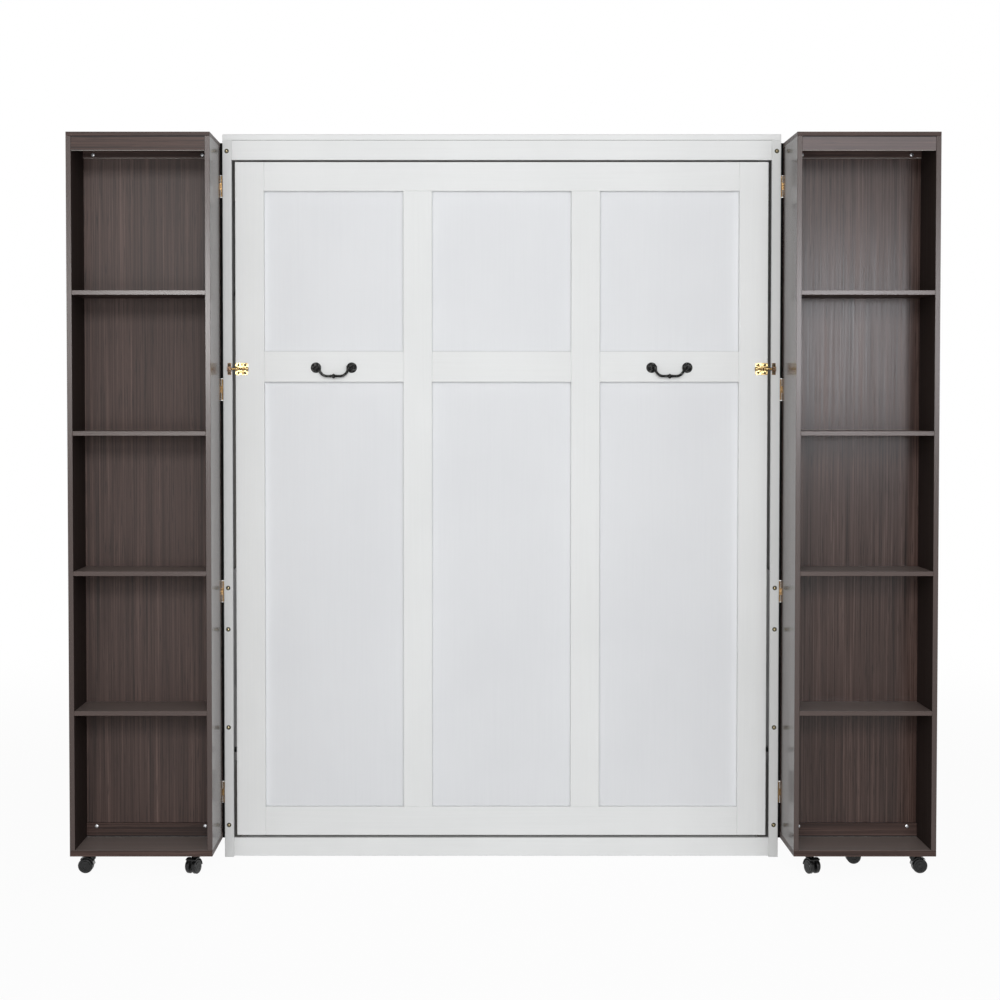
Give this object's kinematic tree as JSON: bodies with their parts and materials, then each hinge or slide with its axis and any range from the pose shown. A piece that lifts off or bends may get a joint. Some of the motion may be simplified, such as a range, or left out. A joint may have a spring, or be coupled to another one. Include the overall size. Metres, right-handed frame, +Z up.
{
  "type": "wall bed",
  "caption": "Vertical wall bed: a white cabinet whose panelled front folds down on pivots and gas struts, with dark bookcases on casters hinged to its front corners.",
  "frame": {"origin": "centre of the footprint, on the floor", "axes": "+X to the right seen from the front, +Y towards the wall, +Z up"},
  "size_m": [2.552, 0.768, 2.212],
  "materials": {
    "white_paint": "satin white paint on wood",
    "espresso_laminate": "semi-gloss dark brown wood-grain laminate",
    "pine": "clear-lacquered pine",
    "brass": "aged bright brass",
    "black_iron": "black hammered iron",
    "steel": "zinc-plated steel",
    "black_steel": "black powder coat",
    "caster_plastic": "black moulded nylon",
    "strip_rubber": "black rubber"
  },
  "bodies": {
    "cabinet": {"left_side_board": "white_paint", "right_side_board": "white_paint", "front_stiles": "white_paint", "top_board": "white_paint", "header_rail": "white_paint", "toe_rail": "white_paint", "wall_rails": "pine", "frame_screws": "brass", "pivot_plates": "steel", "bolt_keepers": "brass", "cabinet_hinge_leaves": "brass", "hinge_gap_strips": "strip_rubber"},
    "bed": {"face_panel": "white_paint", "face_uprights": "white_paint", "face_rails": "white_paint", "face_mid_rails": "white_paint", "bed_side_rails": "pine", "bed_end_rails": "pine", "slats": "pine", "centre_beam": "pine", "bed_pivot_fittings": "steel", "handle_rosettes": "black_iron", "bolt_bodies": "brass"},
    "left_bail": {"left_bail": "black_iron"},
    "left_bolt": {"left_bolt": "brass"},
    "left_foot_leg": {"left_foot_leg": "black_steel"},
    "left_strut_cylinder": {"left_strut_cylinder": "black_steel"},
    "left_strut_rod": {"left_strut_rod": "steel"},
    "left_bookcase": {"left_case_sides": "espresso_laminate", "left_case_top": "espresso_laminate", "left_case_base": "espresso_laminate", "left_case_back": "espresso_laminate", "left_case_rails": "espresso_laminate", "left_case_shelves": "espresso_laminate", "left_case_hinge_leaves": "brass", "left_caster_plates": "black_steel"},
    "right_bail": {"right_bail": "black_iron"},
    "right_bolt": {"right_bolt": "brass"},
    "right_foot_leg": {"right_foot_leg": "black_steel"},
    "right_strut_cylinder": {"right_strut_cylinder": "black_steel"},
    "right_strut_rod": {"right_strut_rod": "steel"},
    "right_bookcase": {"right_case_sides": "espresso_laminate", "right_case_top": "espresso_laminate", "right_case_base": "espresso_laminate", "right_case_back": "espresso_laminate", "right_case_rails": "espresso_laminate", "right_case_shelves": "espresso_laminate", "right_case_hinge_leaves": "brass", "right_caster_plates": "black_steel"},
    "left_outer_swivel": {"left_outer_caster": "caster_plastic"},
    "left_outer_wheel_pair": {"left_outer_wheels": "caster_plastic"},
    "left_inner_swivel": {"left_inner_caster": "caster_plastic"},
    "left_inner_wheel_pair": {"left_inner_wheels": "caster_plastic"},
    "right_inner_swivel": {"right_inner_caster": "caster_plastic"},
    "right_inner_wheel_pair": {"right_inner_wheels": "caster_plastic"},
    "right_outer_swivel": {"right_outer_caster": "caster_plastic"},
    "right_outer_wheel_pair": {"right_outer_wheels": "caster_plastic"},
    "right_rear_swivel": {"right_rear_caster": "caster_plastic"},
    "right_rear_wheel_pair": {"right_rear_wheels": "caster_plastic"}
  },
  "joints": [
    {"name": "bed_fold", "type": "hinge", "parent": "cabinet", "child": "bed", "pos_m": [0, 0.024, 0.32], "axis": [1, 0, 0], "range_deg": [0, 90], "stiffness_Nm_per_rad": 120, "springref_deg": -28.65},
    {"name": "left_bail_swing", "type": "hinge", "parent": "bed", "child": "left_bail", "pos_m": [-0.512, -0.083, 1.503], "axis": [-1, 0, 0], "range_deg": [0, 95]},
    {"name": "left_bolt_slide", "type": "slide", "parent": "bed", "child": "left_bolt", "axis": [1, 0, 0], "range_m": [-0.008, 0.012]},
    {"name": "left_leg_drop", "type": "hinge", "parent": "bed", "child": "left_foot_leg", "pos_m": [-0.817, -0.006, 1.998], "axis": [1, 0, 0], "range_deg": [-90.5, 0.5]},
    {"name": "left_strut_tilt", "type": "hinge", "parent": "cabinet", "child": "left_strut_cylinder", "pos_m": [-0.815, 0.214, 0.84], "axis": [1, 0, 0], "range_deg": [-1, 4]},
    {"name": "left_strut_stroke", "type": "slide", "parent": "left_strut_cylinder", "child": "left_strut_rod", "axis": [0, 0.2601, 0.9656], "range_m": [-0.002, 0.1166]},
    {"name": "left_bookcase_swing", "type": "hinge", "parent": "cabinet", "child": "left_bookcase", "pos_m": [-0.853, -0.063, 0.06], "axis": [0, 0, 1], "range_deg": [-90, 0]},
    {"name": "right_bail_swing", "type": "hinge", "parent": "bed", "child": "right_bail", "pos_m": [0.512, -0.083, 1.503], "axis": [-1, 0, 0], "range_deg": [0, 95]},
    {"name": "right_bolt_slide", "type": "slide", "parent": "bed", "child": "right_bolt", "axis": [-1, 0, 0], "range_m": [-0.008, 0.012]},
    {"name": "right_leg_drop", "type": "hinge", "parent": "bed", "child": "right_foot_leg", "pos_m": [0.817, -0.006, 1.998], "axis": [1, 0, 0], "range_deg": [-90.5, 0.5]},
    {"name": "right_strut_tilt", "type": "hinge", "parent": "cabinet", "child": "right_strut_cylinder", "pos_m": [0.815, 0.214, 0.84], "axis": [1, 0, 0], "range_deg": [-1, 4]},
    {"name": "right_strut_stroke", "type": "slide", "parent": "right_strut_cylinder", "child": "right_strut_rod", "axis": [0, 0.2601, 0.9656], "range_m": [-0.002, 0.1166]},
    {"name": "right_bookcase_swing", "type": "hinge", "parent": "cabinet", "child": "right_bookcase", "pos_m": [0.853, -0.063, 0.06], "axis": [0, 0, 1], "range_deg": [0, 90]},
    {"name": "left_outer_caster_turn", "type": "hinge", "parent": "left_bookcase", "child": "left_outer_swivel", "pos_m": [-1.221, -0.314, 0.06], "axis": [0, 0, 1], "continuous": true},
    {"name": "left_outer_wheel_roll", "type": "hinge", "parent": "left_outer_swivel", "child": "left_outer_wheel_pair", "pos_m": [-1.239, -0.314, 0.022], "axis": [0, -1, 0], "continuous": true},
    {"name": "left_inner_caster_turn", "type": "hinge", "parent": "left_bookcase", "child": "left_inner_swivel", "pos_m": [-0.911, -0.314, 0.06], "axis": [0, 0, 1], "continuous": true},
    {"name": "left_inner_wheel_roll", "type": "hinge", "parent": "left_inner_swivel", "child": "left_inner_wheel_pair", "pos_m": [-0.91861, -0.33031, 0.022], "axis": [0.9063, -0.4226, 0], "continuous": true},
    {"name": "right_inner_caster_turn", "type": "hinge", "parent": "right_bookcase", "child": "right_inner_swivel", "pos_m": [0.911, -0.314, 0.06], "axis": [0, 0, 1], "continuous": true},
    {"name": "right_inner_wheel_roll", "type": "hinge", "parent": "right_inner_swivel", "child": "right_inner_wheel_pair", "pos_m": [0.91861, -0.33031, 0.022], "axis": [0.9063, 0.4226, 0], "continuous": true},
    {"name": "right_outer_caster_turn", "type": "hinge", "parent": "right_bookcase", "child": "right_outer_swivel", "pos_m": [1.221, -0.314, 0.06], "axis": [0, 0, 1], "continuous": true},
    {"name": "right_outer_wheel_roll", "type": "hinge", "parent": "right_outer_swivel", "child": "right_outer_wheel_pair", "pos_m": [1.239, -0.314, 0.022], "axis": [0, 1, 0], "continuous": true},
    {"name": "right_rear_caster_turn", "type": "hinge", "parent": "right_bookcase", "child": "right_rear_swivel", "pos_m": [1.084, -0.165, 0.06], "axis": [0, 0, 1], "continuous": true},
    {"name": "right_rear_wheel_roll", "type": "hinge", "parent": "right_rear_swivel", "child": "right_rear_wheel_pair", "pos_m": [1.066, -0.165, 0.022], "axis": [0, -1, 0], "continuous": true}
  ],
  "couplings": [
    {"joint": "left_leg_drop", "follows": "bed_fold", "ratio": -1},
    {"joint": "left_strut_tilt", "follows": "bed_fold", "ratio": 0.019519},
    {"joint": "left_strut_stroke", "follows": "bed_fold", "m_per_rad": 0.071065},
    {"joint": "right_leg_drop", "follows": "bed_fold", "ratio": -1},
    {"joint": "right_strut_tilt", "follows": "bed_fold", "ratio": 0.019519},
    {"joint": "right_strut_stroke", "follows": "bed_fold", "m_per_rad": 0.071065}
  ]
}
